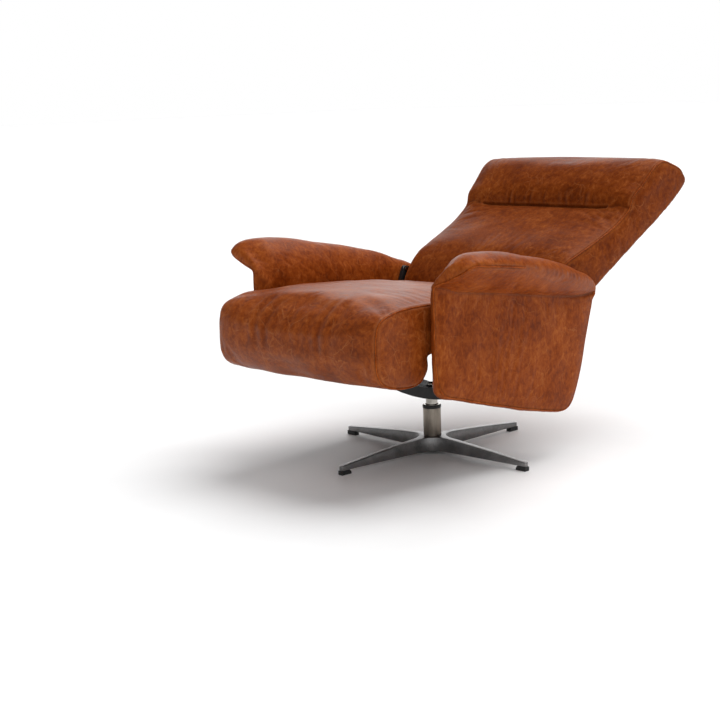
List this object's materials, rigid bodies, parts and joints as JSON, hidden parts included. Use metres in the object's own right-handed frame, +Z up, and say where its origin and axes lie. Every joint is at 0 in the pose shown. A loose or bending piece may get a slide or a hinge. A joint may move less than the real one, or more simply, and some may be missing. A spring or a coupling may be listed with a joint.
{
  "type": "recliner armchair",
  "caption": "Low leather swivel armchair with flared wing arms, a reclining back with headrest, a seat that slides forward with it, and a four-star metal base.",
  "frame": {"origin": "swivel axis on the floor plane, 3 mm below the underside of the star base's hub", "axes": "+Z up along the swivel axis; the sitter faces -Y and their left arm is on +X; +Y runs towards the headrest"},
  "size_m": [0.912, 1.304, 0.789],
  "materials": {
    "leather": "satin",
    "foam": "matte",
    "plywood": "matte",
    "cast_aluminium": "satin",
    "brushed_steel": "satin",
    "polished_steel": "polished",
    "black_steel": "satin",
    "black_plastic": "matte",
    "nylon": "satin",
    "dust_cloth": "matte"
  },
  "bodies": {
    "base": {"star_base": "cast_aluminium", "glide_left": "black_plastic", "glide_rear": "black_plastic", "glide_right": "black_plastic", "glide_front": "black_plastic", "column_tube": "brushed_steel", "column_plug": "black_steel", "base_bolt": "polished_steel", "base_washer": "polished_steel", "base_cap": "black_plastic", "thrust_bearing": "polished_steel", "bush_lower": "nylon", "bush_upper": "nylon", "column_collar": "black_plastic"},
    "swivel_frame": {"bow_beam": "black_steel", "spindle": "polished_steel", "spindle_washer": "black_steel", "spindle_bolt": "polished_steel", "side_plate_left": "black_steel", "side_plate_right": "black_steel", "seat_rail_left": "black_steel", "seat_rail_right": "black_steel", "back_pivot_pin_left": "polished_steel", "back_pivot_pin_right": "polished_steel", "pivot_washer_left": "nylon", "pivot_washer_right": "nylon", "frame_screw_left_front": "polished_steel", "frame_screw_left_rear": "polished_steel", "frame_screw_right_front": "polished_steel", "frame_screw_right_rear": "polished_steel", "rear_stretcher": "black_steel", "arm_cover_left": "leather", "arm_cover_right": "leather", "arm_foam_left": "foam", "arm_foam_right": "foam", "arm_board_left": "plywood", "arm_board_right": "plywood"},
    "seat": {"seat_cover": "leather", "seat_foam": "foam", "seat_board": "plywood", "seat_dust_cloth": "dust_cloth", "seat_runner_left": "brushed_steel", "seat_runner_right": "brushed_steel", "seat_bracket_left": "black_steel", "seat_bracket_right": "black_steel", "seat_pivot_pin_left": "polished_steel", "seat_pivot_pin_right": "polished_steel"},
    "backrest": {"back_cover": "leather", "back_foam": "foam", "headrest_foam": "foam", "back_board": "plywood", "back_cross_tube": "black_steel", "back_ear_left": "black_steel", "back_ear_right": "black_steel"}
  },
  "joints": [
    {"name": "swivel", "type": "hinge", "parent": "base", "child": "swivel_frame", "pos_m": [0, 0, 0], "axis": [0, 0, 1], "continuous": true},
    {"name": "recline", "type": "hinge", "parent": "swivel_frame", "child": "backrest", "pos_m": [0, 0.214, 0.478], "axis": [1, 0, 0], "range_deg": [0, 36]},
    {"name": "seat_slide", "type": "slide", "parent": "swivel_frame", "child": "seat", "axis": [0, 0.9969, -0.0781], "range_m": [0, 0.0389]}
  ],
  "couplings": [
    {"joint": "seat_slide", "follows": "recline", "m_per_rad": 0.061742}
  ]
}
